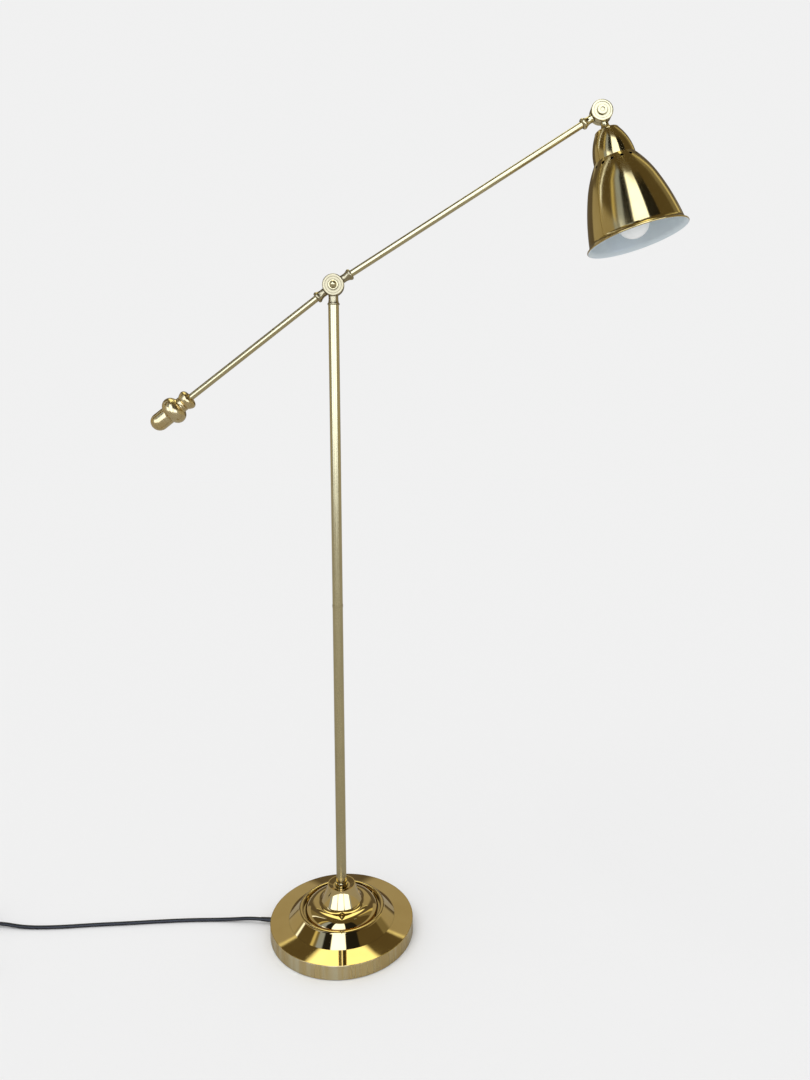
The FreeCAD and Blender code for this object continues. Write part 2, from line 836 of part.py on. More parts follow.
def front_way(reach):
    """A point on the front tube's axis, that far from the pivot."""
    angle = math.radians(S["front_angle"].value)
    return V(reach * math.cos(angle), 0, S["pivot_height"].value + reach * math.sin(angle))


def rear_way(reach):
    """A point on the rear tube's axis, that far from the pivot."""
    angle = math.radians(S["rear_angle"].value)
    return V(-reach * math.cos(angle), 0, S["pivot_height"].value - reach * math.sin(angle))


def lay_front(piece):
    piece.Placement = FreeCAD.Placement(front_way(0), pitched(90 - S["front_angle"].value))
    return piece


def lay_rear(piece):
    piece.Placement = FreeCAD.Placement(rear_way(0), pitched(-90 - S["rear_angle"].value))
    return piece


def make_arm():
    front = stub("arm_front_stub", S["stub_bead_reach"], None)
    rear = stub("arm_rear_stub", S["stub_bead_reach"], None)
    front.Placement.Rotation = pitched(90 - S["front_angle"].value)
    rear.Placement.Rotation = pitched(-90 - S["rear_angle"].value)
    half = swivel_half("arm_swivel", True, [front, rear])
    half.Placement.Base = front_way(0)
    keep(half)
    nut = cap_nut("pivot_cap_nut")
    nut.Placement = FreeCAD.Placement(front_way(0), FreeCAD.Rotation(V(1, 0, 0), -90))
    keep(nut)

    inside = S["arm_radius"] - S["arm_wall"]
    rear_end = weight_ring_end() + S["weight_bore_depth"]
    seat = S["stub_bead_reach"] + S["stub_bead_width"] - S["stub_socket_depth"]
    front_end = S["front_reach"] - S["end_bead_reach"] - S["stub_bead_width"] - S["face_play"]
    keep(lay_front(turned("arm_front_tube", ring_outline(inside, S["arm_radius"], seat, front_end))))
    keep(lay_rear(turned("arm_rear_tube", ring_outline(inside, S["arm_radius"], seat, rear_end))))
    lead_end = front_end - S["end_spigot_length"] - S["stub_bead_width"]
    keep(lay_front(turned("arm_lead", ring_outline(0, S["lead_radius"], S["disc_radius"], lead_end))))


def weight_ring_end():
    """Where the counterweight's own body starts, along the rear tube."""
    return S["weight_collar_start"] + S["weight_collar_length"] + S["weight_ring_length"]


def make_counterweight():
    """Three turned pieces threaded on the rear tube: a cupped collar, a ring and the weight itself."""
    bore = S["arm_radius"] + S["seat_clearance"]
    start = S["weight_collar_start"]
    widest = start + S["weight_collar_rise"]
    end = start + S["weight_collar_length"]
    keep(lay_rear(turned("counterweight_collar", [
        (bore, start + S["weight_collar_cup"]),
        (S["weight_collar_mouth"], start),
        (S["weight_collar_radius"], widest, S["weight_collar_curve"], "left"),
        (S["weight_neck_radius"], end, S["weight_collar_slope"], "left"),
        (bore, end),
    ])))
    ring_end = weight_ring_end()
    keep(lay_rear(turned("counterweight_ring", [
        (bore, end),
        (S["weight_neck_radius"], end),
        (S["weight_neck_radius"], ring_end, S["weight_ring_curve"], "left"),
        (bore, ring_end),
    ])))
    fillet = S["weight_fillet"]
    foot = S["weight_bead_foot"]
    bead_start = ring_end + fillet
    bead_end = bead_start + S["weight_bead_width"]
    barrel = S["weight_barrel_radius"]
    barrel_start = bead_end + fillet
    barrel_end = barrel_start + S["weight_barrel_length"]
    bore_end = ring_end + S["weight_bore_depth"]
    keep(lay_rear(turned("counterweight_body", [
        (bore, ring_end),
        (S["weight_neck_radius"], ring_end),
        (foot, bead_start, S["weight_fillet_curve"], "right"),
        (foot, bead_end, S["weight_bead_curve"], "left"),
        (barrel, barrel_start, S["weight_fillet_curve"], "right"),
        (barrel, barrel_end),
        (0, barrel_end + barrel, barrel, "left"),
        (0, bore_end),
        (bore, bore_end),
    ])))


# Head: both halves of its swivel, the shade, the lampholder and the bulb


def twisted():
    """The head end's turn about the front tube, which the head was left at."""
    way = front_way(1) - front_way(0)
    return FreeCAD.Rotation(way, S["head_twist"].value)


def head_place(turn):
    return FreeCAD.Placement(front_way(S["front_reach"].value), twisted() * turn)


def lay_head(piece):
    """Puts a piece whose +Z runs down the shade's axis in its place."""
    piece.Placement = head_place(pitched(180 - S["head_tilt"].value))
    return piece


def make_arm_end():
    stem = stub("arm_end_stub", S["end_bead_reach"], S["end_spigot_length"])
    stem.Placement.Rotation = pitched(-90 - S["front_angle"].value)
    half = swivel_half("arm_end_swivel", True, [stem])
    half.Placement = head_place(FreeCAD.Rotation())
    keep(half)
    nut = cap_nut("head_cap_nut")
    nut.Placement = head_place(FreeCAD.Rotation(V(1, 0, 0), -90))
    keep(nut)
    washer = turned("head_washer", ring_outline(
        S["pin_radius"], S["friction_washer_radius"], 0, S["disc_gap"] * 2 - S["friction_washer_play"]))
    start = twisted().multVec(V(0, S["disc_gap"].value, 0))
    washer.Placement = head_place(FreeCAD.Rotation(V(1, 0, 0), 90))
    washer.Placement.Base = washer.Placement.Base + start
    keep(washer)


def make_head_swivel():
    socket = S["nipple_radius"] + S["seat_clearance"]
    stem = turned("head_swivel_stem", [
        (0, S["stem_root_reach"]),
        (S["neck_radius"], S["stem_root_reach"]),
        (S["neck_radius"], S["disc_radius"] + S["stem_straight_length"]),
        (S["neck_foot_radius"], S["shade_top"], S["neck_foot_curve"], "right"),
        (socket, S["shade_top"]),
        (socket, S["head_nipple_start"]),
        (S["end_spigot_bore"], S["head_nipple_start"]),
        (S["end_spigot_bore"], S["disc_radius"]),
        (0, S["disc_radius"]),
    ])
    half = swivel_half("head_swivel", False, [stem])
    keep(lay_head(half))
    face = S["disc_outer_face"] + S["face_play"]
    head = S["head_screw_radius"]
    shank = S["pin_radius"] - S["pin_clearance"]
    screw = turned("head_pivot_screw", [
        (0, as_size(0) - pin_end()),
        (shank, as_size(0) - pin_end()),
        (shank, face),
        (head, face),
        (head, face + S["head_screw_height"] - S["knob_round"]),
        (head - S["knob_round"], face + S["head_screw_height"], S["knob_round"], "left"),
        (S["head_screw_socket"], face + S["head_screw_height"]),
        (S["head_screw_socket"], face + S["head_screw_height"] / 2),
        (0, face + S["head_screw_height"] / 2),
    ])
    screw.Placement = head_place(FreeCAD.Rotation(V(1, 0, 0), 90))
    keep(screw)


def make_shade():
    wall = S["shade_wall"]
    top = S["shade_top"]
    shoulder = top + S["shade_shoulder_drop"]
    hole = S["nipple_radius"] + S["nipple_slack"]
    edge = S["bell_end_radius"] + S["rim_flare"] - S["rim_bead"]
    rim = S["bell_end_reach"] + S["rim_drop"]
    flare = rim - S["rim_bead"] * 2
    body = turned("shade", [
        (hole, top),
        (S["shade_shoulder_radius"] - S["shade_shoulder_round"], top),
        (S["shade_shoulder_radius"], shoulder, S["shade_shoulder_round"], "left"),
        (S["crease_radius"], S["crease_reach"], S["shade_cap_curve"], "left"),
        (S["bell_radius"], S["bell_reach"], S["bell_upper_curve"], "left"),
        (S["bell_end_radius"], S["bell_end_reach"], S["bell_lower_curve"], "left"),
        (edge, flare, S["rim_curve"], "right"),
        (edge, rim, S["rim_bead"] + S["rim_bead_ease"], "left"),
        (edge - wall, rim - wall),
        (S["bell_end_radius"] - wall, S["bell_end_reach"], S["rim_curve"], "left"),
        (S["bell_radius"] - wall, S["bell_reach"], S["bell_lower_curve"] - wall, "right"),
        (S["crease_radius"] - wall, S["crease_reach"] + wall / 2, S["bell_upper_curve"] - wall, "right"),
        (S["shade_shoulder_radius"] - wall, shoulder + wall, S["shade_cap_curve"] - wall, "right"),
        (S["shade_shoulder_radius"] - S["shade_shoulder_round"], top + wall),
        (hole, top + wall),
    ])
    doc.recompute()
    reach = S["bell_radius"]
    vent_reach = S["crease_reach"] + S["vent_drop"]
    sketch, vent = pierce("shade_vent", body, 0, vent_reach, S["vent_radius"], reach)
    pattern = body.newObject("PartDesign::PolarPattern", "shade_vents")
    pattern.Originals = [vent]
    pattern.Axis = (sketch, ["V_Axis"])
    pattern.Angle = 360
    pattern.setExpression("Occurrences", S["vent_count"].text)
    body.Tip = pattern
    keep(lay_head(body))


def make_lampholder():
    """What hangs in the shade's cap from the threaded nipple, and the bulb that it holds."""
    wall = S["holder_wall"]
    top = S["holder_start"]
    end = top + S["holder_length"]
    radius = S["holder_radius"]
    bore = S["nipple_radius"] + S["seat_clearance"]
    under_shade = S["shade_top"] + S["shade_wall"]
    keep(lay_head(turned("shade_nut", ring_outline(
        bore, S["shade_nut_radius"], under_shade, under_shade + S["shade_nut_thickness"]))))
    keep(lay_head(turned("head_nipple", ring_outline(
        S["nipple_bore"], S["nipple_radius"], S["head_nipple_start"], top + wall))))
    keep(lay_head(turned("lampholder_body", [
        (bore, top),
        (radius - wall * 2, top),
        (radius, top + wall * 2),
        (radius, end),
        (radius - wall, end),
        (radius - wall, top + wall * 3),
        (radius - wall * 3, top + wall),
        (bore, top + wall),
    ])))
    ring_end = end - S["holder_ring_height"]
    ring_start = ring_end - S["holder_ring_height"]
    keep(lay_head(turned("lampholder_ring", ring_outline(
        radius + S["seat_clearance"], S["holder_ring_radius"], ring_start, ring_end))))
    core = radius - wall - S["seat_clearance"]
    cavity = S["bulb_cap_radius"] + S["screw_shell_wall"] + S["face_play"]
    seat = end - S["bulb_cap_depth"]
    neck = end + S["bulb_neck_gap"]
    keep(lay_head(turned("contact_insert", [
        (0, top + wall * 3),
        (core, top + wall * 3),
        (core, end - wall),
        (cavity, end - wall),
        (cavity, seat),
        (0, seat),
    ])))
    keep(lay_head(turned("screw_shell", ring_outline(
        S["bulb_cap_radius"] + S["face_play"] / 2, cavity - S["seat_clearance"], seat, end - wall))))
    keep(lay_head(turned("bulb_cap", [
        (0, seat),
        (S["contact_radius"], seat),
        (S["bulb_cap_radius"], seat + S["contact_radius"]),
        (S["bulb_cap_radius"], neck),
        (0, neck),
    ])))
    globe = S["bulb_radius"]
    glass = S["bulb_wall"]
    centre = neck + S["bulb_neck_length"]
    join = S["bulb_join_radius"]
    shrink = (globe - glass) / globe
    join_reach = Size(
        centre.value - math.sqrt(globe.value ** 2 - join.value ** 2),
        "(" + centre.text + " - sqrt(" + globe.text + " ^ 2 - (" + join.text + ") ^ 2))",
    )
    keep(lay_head(turned("bulb_glass", [
        (S["bulb_cap_radius"] - glass, neck),
        (S["bulb_cap_radius"], neck),
        (join, join_reach, S["bulb_neck_curve"], "right"),
        (0, centre + globe, globe, "left"),
        (0, centre + globe - glass),
        (join * shrink, centre - (centre - join_reach) * shrink, globe - glass, "right"),
    ])))


# Cord: strain relief, the run on the floor, the coil, the foot switch and the plug


def rounded_route(corners, radius=None):
    """A wire of straight runs joined by tangent arcs, each as large as its runs allow unless given."""
    edges = []
    last = corners[0]
    for before, corner, after in zip(corners, corners[1:], corners[2:]):
        back = (before - corner).normalize()
        ahead = (after - corner).normalize()
        half_turn = (math.pi - back.getAngle(ahead)) / 2
        shorter = min((before - corner).Length, (after - corner).Length)
        bend = radius or 0.45 * shorter / math.tan(half_turn)
        setback = bend * math.tan(half_turn)
        middle = (back + ahead).normalize() * (bend / math.cos(half_turn) - bend)
        first = corner + back * setback
        end = corner + ahead * setback
        edges.append(Part.LineSegment(last, first).toShape())
        edges.append(Part.Arc(first, corner + middle, end).toShape())
        last = end
        if radius is None:
            print("bend radius %.0f mm, run %.0f mm" % (bend, shorter))
    edges.append(Part.LineSegment(last, corners[-1]).toShape())
    return Part.Wire(edges)


def tube_on(name, wire, radius, start, way):
    """A round tube along a wire, as a feature of its own."""
    section = Part.Wire(Part.Circle(start, way, radius).toShape())
    solid = wire.makePipeShell([section], True, False)
    tube = doc.addObject("Part::Feature", name)
    tube.Label = name
    tube.Shape = solid
    expected = math.pi * radius * radius * wire.Length
    print("%s: length %.0f mm" % (name, wire.Length))
    print("%s: volume / (section x length) %.4f" % (name, solid.Volume / expected))
    return tube


def make_gland():
    flange = (S["base_radius"] - S["sheet_wall"]).value
    sagitta = flange - math.sqrt(flange ** 2 - S["gland_flange_radius"].value ** 2)
    back = S["sheet_wall"] + S["face_play"] + sagitta
    thick = S["sheet_wall"] + S["gland_flange_thickness"]
    gland = turned("cord_gland", [
        (0, as_size(0) - thick - sagitta),
        (S["gland_flange_radius"], as_size(0) - thick - sagitta),
        (S["gland_flange_radius"], as_size(0) - back),
        (S["gland_root_radius"], as_size(0) - back),
        (S["gland_root_radius"], S["gland_shoulder"]),
        (S["gland_tip_radius"], S["gland_length"]),
        (0, S["gland_length"]),
    ])
    gland.Placement = FreeCAD.Placement(gland_spot(S["base_radius"].value), gland_turn())
    keep(gland)
    return S["base_radius"].value - thick.value - sagitta


def make_inner_cord(start_radius):
    """The cord inside the base, bent up through the nipple and the pole to the pivot."""
    start = gland_spot(start_radius)
    corner = V(0, 0, S["gland_height"].value)
    top = V(0, 0, S["pivot_height"].value - S["disc_radius"].value)
    wire = rounded_route([start, corner, top], S["inner_bend"].value)
    keep(tube_on("pole_cord", wire, S["cord_radius"].value, start, corner - start))


# The corners of the cord's free stretches, chosen by hand: out of the strain relief to the foot switch,
RUN = [
    (-133.1, 22.7, 8.0),
    (-151.8, 25.9, 8.0),
    (-176.0, 30.0, 4.8),
    (-206.0, 33.4, 2.8),
    (-252.0, 35.6, 2.8),
    (-305.0, 35.2, 2.8),
    (-358.0, 34.0, 2.8),
    (-410.0, 33.6, 2.8),
    (-458.0, 31.6, 2.8),
    (-502.0, 33.0, 2.8),
    (-530.0, 37.0, 3.6),
    (-549.7, 41.0, 5.6),
    (-568.45, 43.79, 5.6),
]
# from the foot switch round to the coil,
LINK = [
    (-651.55, 56.21, 5.6),
    (-669.3, 58.9, 5.6),
    (-686.1, 52.4, 4.6),
    (-698.1, 37.7, 3.7),
    (-703.9, 12.3, 3.7),
    (-703.9, -7.7, 3.7),
]
# and from the coil to the plug
TAIL = [
    (-656.0, -54.05, 9.9),
    (-643.0, -54.05, 9.9),
    (-628.0, -56.9, 7.6),
    (-614.4, -60.5, 6.85),
    (-601.8, -63.88, 6.85),
]


def free_stretch(name, corners):
    corners = [V(*corner) for corner in corners]
    wire = rounded_route(corners)
    keep(tube_on(name, wire, S["cord_radius"].value, corners[0], corners[1] - corners[0]))


def biarc(start, start_way, end, end_way):
    """Two arcs that meet smoothly and join two points with a given direction at each."""
    across = end - start
    both = start_way + end_way
    squared = both.dot(both) - 4
    along = across.dot(both)
    reach = (along - math.sqrt(along * along - squared * across.dot(across))) / squared
    first_corner = start + start_way * reach
    last_corner = end - end_way * reach
    joint = (first_corner + last_corner) * 0.5
    arcs = []
    for point, corner, other in ((start, first_corner, joint), (joint, last_corner, end)):
        chord_middle = (point + other) * 0.5
        rise = (corner - chord_middle).Length
        slope = math.atan2(rise, (other - point).Length / 2)
        crest = chord_middle + (corner - chord_middle) * (math.tan(slope / 2) / math.tan(slope))
        arcs.append(Part.Arc(point, crest, other).toShape())
    return arcs


def coil_stations():
    """The coil's centre line at each quarter turn: in on the lower layer, then out on the upper one."""
    centre = V(S["coil_x"].value, S["coil_y"].value, 0)
    steps_in = int(S["coil_quarters_in"].value)
    steps_out = int(S["coil_quarters_out"].value)
    pitch = S["coil_pitch"].value
    low = (S["cord_radius"] + S["tie_thickness"] + S["tie_play"]).value
    stations = []
    for step in range(-steps_in, steps_out + 1):
        angle = math.radians(S["coil_start_angle"].value + 90.0 * (step + steps_in))
        radius = S["coil_inner_radius"].value + pitch * abs(step) / 4
        layer = 0.5 + min(max(step, -1), 1) / 2
        is_end = step in (-steps_in, steps_out)
        swell = 0.0 if step == 0 or is_end else math.copysign(pitch / (2 * math.pi), step)
        climb = pitch / 2 if step == 0 else 0.0
        outward = V(math.cos(angle), math.sin(angle), 0)
        onward = V(-math.sin(angle), math.cos(angle), 0)
        point = centre + outward * radius + UP * (low + layer * pitch)
        way = (onward * radius + outward * swell + UP * climb).normalize()
        stations.append((point, way))
    return stations


def self_gap(wire, diameter):
    """The least gap between one turn and another, measured on points along the centre line."""
    spacing = diameter / 2
    points = wire.discretize(Distance=spacing)
    apart = int(6 * diameter / spacing)
    least = min(
        (points[one] - points[other]).Length
        for one in range(len(points))
        for other in range(one + apart, len(points))
    )
    return least - diameter


def make_coil():
    radius = S["cord_radius"].value
    lead = 2 * radius
    stations = coil_stations()
    first, first_way = stations[0]
    last, last_way = stations[-1]
    edges = [Part.LineSegment(first - first_way * lead, first).toShape()]
    for (start, start_way), (end, end_way) in zip(stations, stations[1:]):
        edges += biarc(start, start_way, end, end_way)
    edges.append(Part.LineSegment(last, last + last_way * lead).toShape())
    wire = Part.Wire(edges)
    keep(tube_on("cord_coil", wire, radius, first - first_way * lead, first_way))
    print("cord_coil: least gap to itself %.2f mm" % self_gap(wire, 2 * radius))

    outer = S["coil_inner_radius"] + S["coil_pitch"] * S["coil_quarters_in"] / 4
    length = outer - S["coil_inner_radius"] + S["cord_radius"] * 2 + S["tie_end_play"] * 2
    height = S["coil_pitch"] + S["cord_radius"] * 2 + S["tie_play"] * 2
    wall = S["tie_thickness"] * 2
    strap_outline = rounded_outline(length + wall, height + wall, S["tie_corner"])
    strap = padded("cord_tie_strap", strap_outline, S["tie_width"])
    inner_corner = S["tie_corner"] - S["tie_thickness"]
    gap = padded("cord_tie_gap", rounded_outline(length, height, inner_corner), S["tie_width"])
    tie = joined("Part::Cut", "cord_tie", strap, gap)
    turn = FreeCAD.Rotation(UP, S["tie_angle"].value)
    middle = V((outer + S["coil_inner_radius"]).value / 2, S["tie_width"].value / 2, 0)
    centre = V(S["coil_x"].value, S["coil_y"].value, (height + wall).value / 2)
    tie.Placement = FreeCAD.Placement(centre + turn.multVec(middle), turn * FreeCAD.Rotation(V(1, 0, 0), 90))
    keep(tie)


# Foot switch: a base with both snouts, a cover, a contact block and the pedal that travels


def switch_place(height, turn=FreeCAD.Rotation()):
    heading = FreeCAD.Rotation(UP, S["switch_heading"].value)
    return FreeCAD.Placement(V(S["switch_x"].value, S["switch_y"].value, height), heading * turn)


def make_switch():
    length = S["switch_length"]
    width = S["switch_width"]
    corner = S["switch_corner"]
    wall = S["switch_wall"]
    split = S["switch_split"]
    inner_length = length - wall * 2
    inner_width = width - wall * 2
    inner_corner = corner - wall
    tub = padded("switch_tub", rounded_outline(length, width, corner), split)
    hollow = padded("switch_tub_hollow", rounded_outline(inner_length, inner_width, inner_corner), split)
    hollow.Placement.Base = V(0, 0, wall.value)
    pieces = [joined("Part::Cut", "switch_tub_shell", tub, hollow)]
    cord_height = S["snout_root_radius"] + S["snout_lift"]
    for index, angle in enumerate((90, -90)):
        snout = turned("switch_snout_%d" % (index + 1), [
            (0, length / 2 - wall),
            (S["snout_root_radius"], length / 2 - wall),
            (S["snout_root_radius"], length / 2),
            (S["snout_tip_radius"], length / 2 + S["snout_length"]),
            (0, length / 2 + S["snout_length"]),
        ])
        snout.Placement = FreeCAD.Placement(V(0, 0, cord_height.value), pitched(angle))
        pieces.append(snout)
    base = joined("Part::MultiFuse", "switch_base", *pieces)
    base.Placement = switch_place(0)
    keep(base)

    lid_height = S["switch_height"] - split
    lid = padded("switch_lid", rounded_outline(length, width, corner), lid_height)
    lid_hollow = padded(
        "switch_lid_hollow", rounded_outline(inner_length, inner_width, inner_corner), lid_height - wall)
    window = padded("switch_window", rounded_outline(
        S["pedal_length"] + S["pedal_play"] * 2,
        S["pedal_width"] + S["pedal_play"] * 2,
        S["pedal_corner"] + S["pedal_play"],
    ), lid_height)
    shell = joined("Part::Cut", "switch_lid_shell", lid, lid_hollow)
    cover = joined("Part::Cut", "switch_cover", shell, window)
    cover.Placement = switch_place(split.value)
    keep(cover)

    flange_top = S["switch_height"] - wall - S["pedal_play"]
    flange_spread = S["pedal_flange"] * 2
    flange = padded("switch_pedal_flange", rounded_outline(
        S["pedal_length"] + flange_spread, S["pedal_width"] + flange_spread, S["pedal_corner"]), wall)
    flange.Placement.Base = V(0, 0, (flange_top - wall).value)
    button_height = S["switch_height"] + S["pedal_proud"] - flange_top + wall / 2
    button = padded(
        "switch_pedal_button",
        rounded_outline(S["pedal_length"], S["pedal_width"], S["pedal_corner"]), button_height)
    button.Placement.Base = V(0, 0, (flange_top - wall / 2).value)
    pedal = joined("Part::MultiFuse", "switch_pedal", flange, button)
    pedal.Placement = switch_place(0)
    keep(pedal)

    block_height = flange_top - wall - S["pedal_travel"] - S["pedal_play"] - wall
    contacts = padded("switch_block", rounded_outline(
        S["pedal_length"] + wall * 2, S["pedal_width"] - wall, S["pedal_corner"]), block_height)
    contacts.Placement = switch_place(wall.value)
    keep(contacts)


def make_plug():
    """A flat plug with two round pins, lying on the floor beside the coil, at the end of the cord."""
    start = V(*TAIL[-1])
    way = start - V(*TAIL[-2])
    turn = FreeCAD.Rotation(UP, math.degrees(math.atan2(way.y, way.x)))
    half = S["plug_thickness"] / 2
    relief = S["plug_relief_length"]
    boot = turned("plug_relief", [
        (0, as_size(0)),
        (S["gland_tip_radius"], as_size(0)),
        (S["plug_relief_radius"], relief),
        (S["plug_relief_radius"], relief + half),
        (0, relief + half),
    ])
    boot.Placement = FreeCAD.Placement(V(0, 0, half.value), pitched(90))
    grip = S["plug_grip_width"] / 2
    face = S["plug_face_width"] / 2
    shoulder = S["plug_grip_length"]
    end = S["plug_length"]
    zero = as_size(0)
    housing = padded("plug_housing", [
        (0, zero - S["plug_relief_radius"]),
        (shoulder / 2, zero - grip, shoulder, "left"),
        (shoulder, zero - grip),
        (shoulder + (grip - face), zero - face, S["plug_waist_curve"], "right"),
        (end, zero - face),
        (end, face),
        (shoulder + (grip - face), face),
        (shoulder, grip, S["plug_waist_curve"], "right"),
        (shoulder / 2, grip),
        (0, S["plug_relief_radius"], shoulder, "left"),
    ], S["plug_thickness"])
    housing.Placement.Base = V(relief.value, 0, 0)
    body = joined("Part::MultiFuse", "plug_body", boot, housing)
    body.Placement = FreeCAD.Placement(V(start.x, start.y, 0), turn)
    keep(body)
    pins = []
    for index, side in enumerate((-1, 1)):
        pin = turned("plug_pin_%d" % (index + 1), [
            (0, zero),
            (S["plug_pin_radius"], zero),
            (S["plug_pin_radius"], S["plug_pin_length"] - S["plug_pin_nose"]),
            (S["plug_pin_radius"] - S["plug_pin_nose"], S["plug_pin_length"], S["plug_pin_nose"], "left"),
            (0, S["plug_pin_length"]),
        ])
        spot = V((relief + end).value, side * S["plug_pin_spacing"].value / 2, half.value)
        pin.Placement = FreeCAD.Placement(V(start.x, start.y, 0) + turn.multVec(spot), turn * pitched(90))
        pins.append(pin)
    keep(joined("Part::Compound", "plug_pins", *pins))


def check_and_write():
    """Stops on anything that failed to compute, then writes one file for each piece."""
    doc.recompute()
    for item in doc.Objects:
        if "Invalid" in item.State or "Error" in item.State:
            raise RuntimeError("%s did not compute: %s" % (item.Name, item.State))
    for label, piece in parts.items():
        if piece.Shape.isNull() or not piece.Shape.isValid() or not piece.Shape.Solids:
            raise RuntimeError("%s has no sound solid" % label)
    os.makedirs("parts", exist_ok=True)
    for label, piece in parts.items():
        piece.Shape.exportStep("parts/%s.step" % label)
        print("%s: %d solid, %.1f cm3" % (label, len(piece.Shape.Solids), piece.Shape.Volume / 1000))


def main():
    dish = make_base()
    make_pole(dish)
    make_pole_swivel()
    make_knob()
    make_arm()
    make_counterweight()
    make_arm_end()
    make_head_swivel()
    make_shade()
    make_lampholder()
    make_inner_cord(make_gland())
    free_stretch("cord_run", RUN)
    free_stretch("cord_link", LINK)
    free_stretch("cord_tail", TAIL)
    make_coil()
    make_switch()
    make_plug()
    check_and_write()


main()
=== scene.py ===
import json
import math

import bpy
from mathutils import Matrix, Vector


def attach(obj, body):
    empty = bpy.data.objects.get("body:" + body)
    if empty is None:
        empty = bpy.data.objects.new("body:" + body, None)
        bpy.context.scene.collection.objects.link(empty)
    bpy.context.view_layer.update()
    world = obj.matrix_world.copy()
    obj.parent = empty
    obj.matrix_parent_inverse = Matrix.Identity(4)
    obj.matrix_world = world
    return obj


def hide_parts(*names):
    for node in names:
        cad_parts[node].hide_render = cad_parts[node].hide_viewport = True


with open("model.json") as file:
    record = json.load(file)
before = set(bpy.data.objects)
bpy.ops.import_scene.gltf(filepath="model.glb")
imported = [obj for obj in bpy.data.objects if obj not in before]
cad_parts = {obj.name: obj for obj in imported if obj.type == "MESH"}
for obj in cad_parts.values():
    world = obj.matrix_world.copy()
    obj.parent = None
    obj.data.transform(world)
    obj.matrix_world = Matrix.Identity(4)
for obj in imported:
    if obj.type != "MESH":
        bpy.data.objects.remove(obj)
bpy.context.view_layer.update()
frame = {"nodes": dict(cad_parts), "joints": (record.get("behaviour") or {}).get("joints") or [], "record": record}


# Camera: fitted to the photograph, whose frame is 810 x 1080 pixels

PHOTO_WIDTH = 810
PHOTO_HEIGHT = 1080
FOCAL_PIXELS = 820.0
AXIS_PIXEL_X = 411.8
AXIS_PIXEL_Y = 473.0
SENSOR = 36.0
NEAREST = 0.01
CAMERA_PLACE = Vector((0.0407, -1.2462, 0.8901))
CAMERA_FORWARD = Vector((0.05986, 0.99164, -0.11428))
CAMERA_UP = Vector((0.01010, 0.11387, 0.99344))


def make_camera():
    data = bpy.data.cameras.new("camera")
    data.sensor_width = SENSOR
    data.lens = FOCAL_PIXELS * SENSOR / PHOTO_HEIGHT
    data.shift_x = (PHOTO_WIDTH / 2 - AXIS_PIXEL_X) / PHOTO_HEIGHT
    data.shift_y = (AXIS_PIXEL_Y - PHOTO_HEIGHT / 2) / PHOTO_HEIGHT
    data.clip_start = NEAREST
    camera = bpy.data.objects.new("camera", data)
    back = -CAMERA_FORWARD.normalized()
    right = CAMERA_UP.cross(back).normalized()
    turn = Matrix((right, back.cross(right), back)).transposed()
    camera.matrix_world = Matrix.Translation(CAMERA_PLACE) @ turn.to_4x4()
    bpy.context.scene.collection.objects.link(camera)
    bpy.context.scene.camera = camera


# Cord: the same corners as the construction has, in metres

CORD_DIAMETER = 0.0056
RUN = [
    (-0.1331, 0.0227, 0.0080),
    (-0.1518, 0.0259, 0.0080),
    (-0.1760, 0.0300, 0.0048),
    (-0.2060, 0.0334, 0.0028),
    (-0.2520, 0.0356, 0.0028),
    (-0.3050, 0.0352, 0.0028),
    (-0.3580, 0.0340, 0.0028),
    (-0.4100, 0.0336, 0.0028),
    (-0.4580, 0.0316, 0.0028),
    (-0.5020, 0.0330, 0.0028),
    (-0.5300, 0.0370, 0.0036),
    (-0.5497, 0.0410, 0.0056),
    (-0.56845, 0.04379, 0.0056),
]
LINK = [
    (-0.65155, 0.05621, 0.0056),
    (-0.6693, 0.0589, 0.0056),
    (-0.6861, 0.0524, 0.0046),
    (-0.6981, 0.0377, 0.0037),
    (-0.7039, 0.0123, 0.0037),
]
TAIL = [
    (-0.6430, -0.05405, 0.0099),
    (-0.6280, -0.0569, 0.0076),
    (-0.6144, -0.0605, 0.00685),
    (-0.6018, -0.06388, 0.00685),
]
COIL_X = -0.6616
COIL_Y = -0.0133
COIL_START_ANGLE = 180.0
COIL_INNER_RADIUS = 0.02215
COIL_PITCH = 0.0062
COIL_TURNS_IN = 3.25
COIL_TURNS_OUT = 3.0
COIL_LOW = 0.0037
COIL_STEPS = 24
LINE_STEPS = 8
LINE_ORDER = 3
ROUND_STEPS = 6


def coil_points():
    """Points round the coil: in on the lower layer, up in half a turn, out on the upper one."""
    points = []
    widen = 1 / math.cos(math.pi / COIL_STEPS)
    first = round(-COIL_TURNS_IN * COIL_STEPS)
    last = round(COIL_TURNS_OUT * COIL_STEPS)
    for step in range(first, last + 1):
        turns = step / COIL_STEPS
        angle = math.radians(COIL_START_ANGLE) + (turns + COIL_TURNS_IN) * math.tau
        radius = (COIL_INNER_RADIUS + COIL_PITCH * abs(turns)) * widen
        climbed = min(max(turns * 2 + 0.5, 0), 1)
        lift = COIL_PITCH * (0.5 - 0.5 * math.cos(math.pi * climbed))
        points.append((
            COIL_X + radius * math.cos(angle),
            COIL_Y + radius * math.sin(angle),
            COIL_LOW + lift,
        ))
    return points


